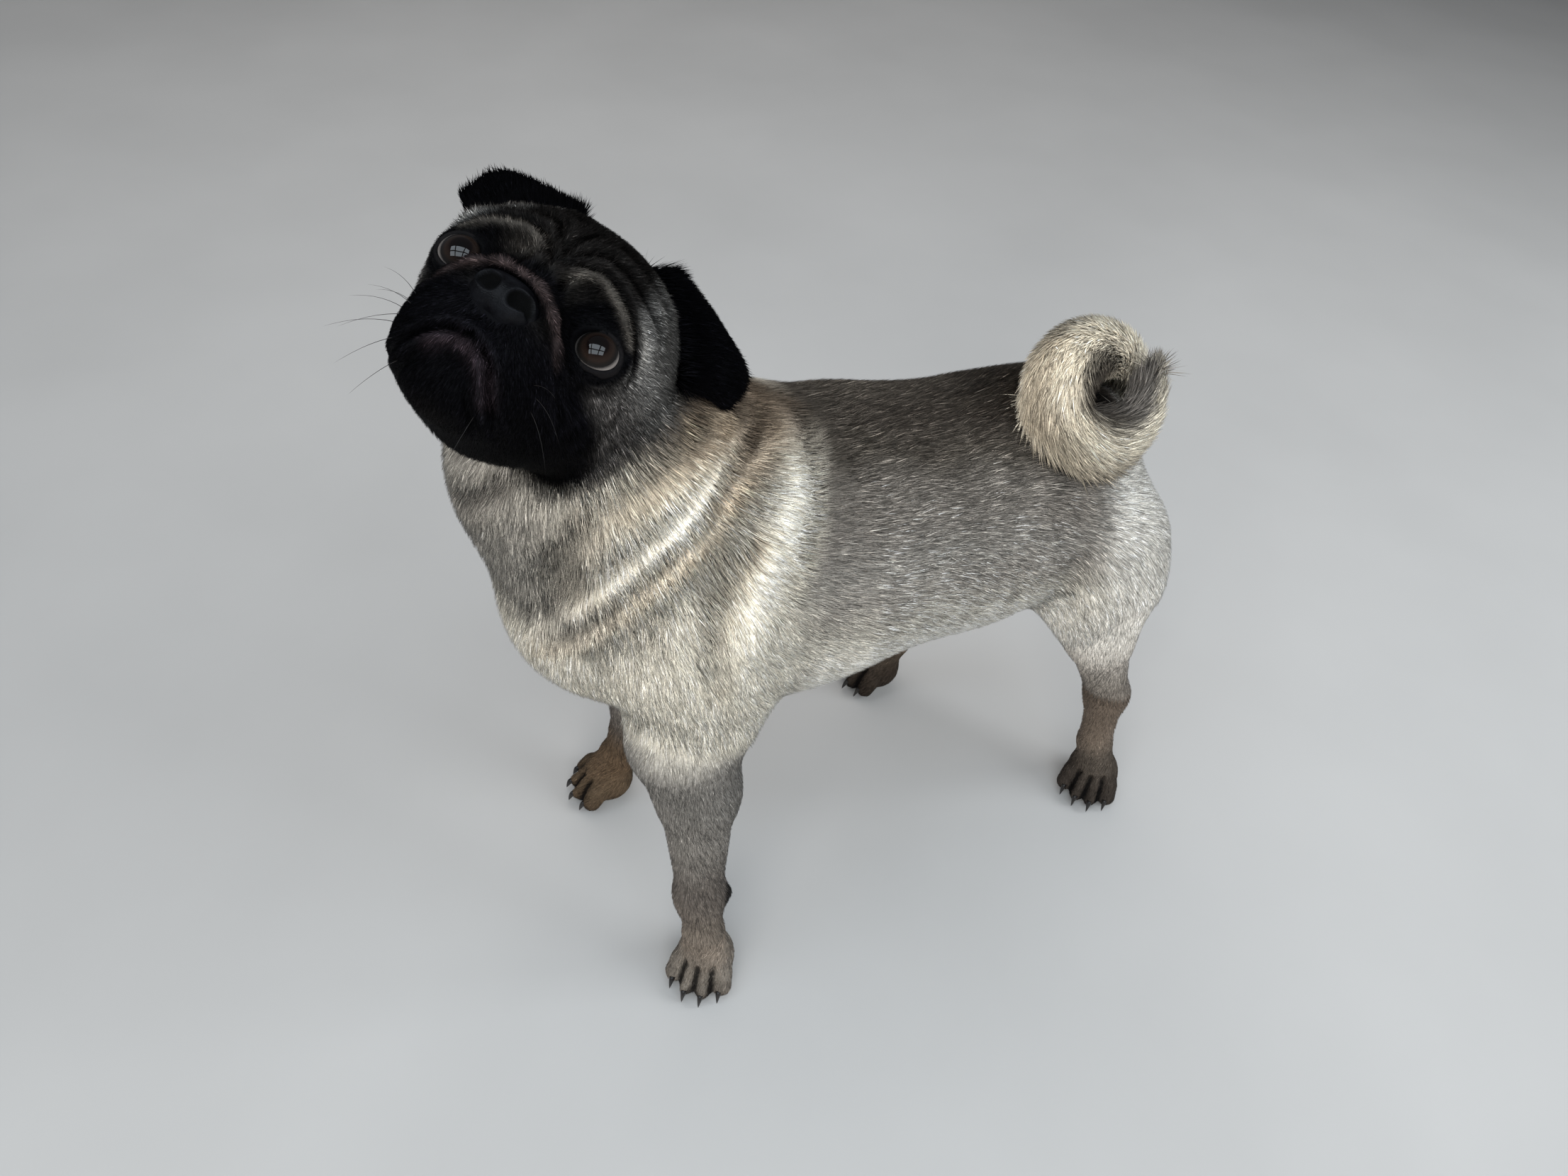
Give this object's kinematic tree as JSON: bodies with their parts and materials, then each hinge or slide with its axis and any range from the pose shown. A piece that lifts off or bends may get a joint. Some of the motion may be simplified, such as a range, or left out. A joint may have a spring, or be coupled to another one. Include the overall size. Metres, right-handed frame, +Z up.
{
  "type": "pug dog model",
  "caption": "Life-size still model of a standing pug with a wrinkled flat face, folded ears, a stocky body and a tightly curled tail, its head turned up and tilted.",
  "frame": {"origin": "on the floor, under the middle of the whole model", "axes": "+Z up, the animal faces -Y and +X is its left side"},
  "size_m": [0.2082, 0.4454, 0.484],
  "materials": {
    "fawn_fur": "matte",
    "saddle_fur": "matte",
    "cream_fur": "matte",
    "mask_fur": "matte",
    "nose_leather": "satin",
    "eye": "gloss"
  },
  "bodies": {
    "root": {"head": "mask_fur", "nose": "nose_leather", "eye_left": "eye", "eye_right": "eye", "ear_left": "mask_fur", "ear_right": "mask_fur", "neck": "fawn_fur", "chest": "fawn_fur", "barrel": "saddle_fur", "rump": "fawn_fur", "foreleg_left": "fawn_fur", "foreleg_right": "fawn_fur", "hindleg_left": "fawn_fur", "hindleg_right": "fawn_fur", "forepaw_left": "mask_fur", "forepaw_right": "mask_fur", "hindpaw_left": "mask_fur", "hindpaw_right": "mask_fur", "tail_base": "cream_fur", "tail_middle": "cream_fur", "tail_tip": "saddle_fur"}
  },
  "joints": []
}
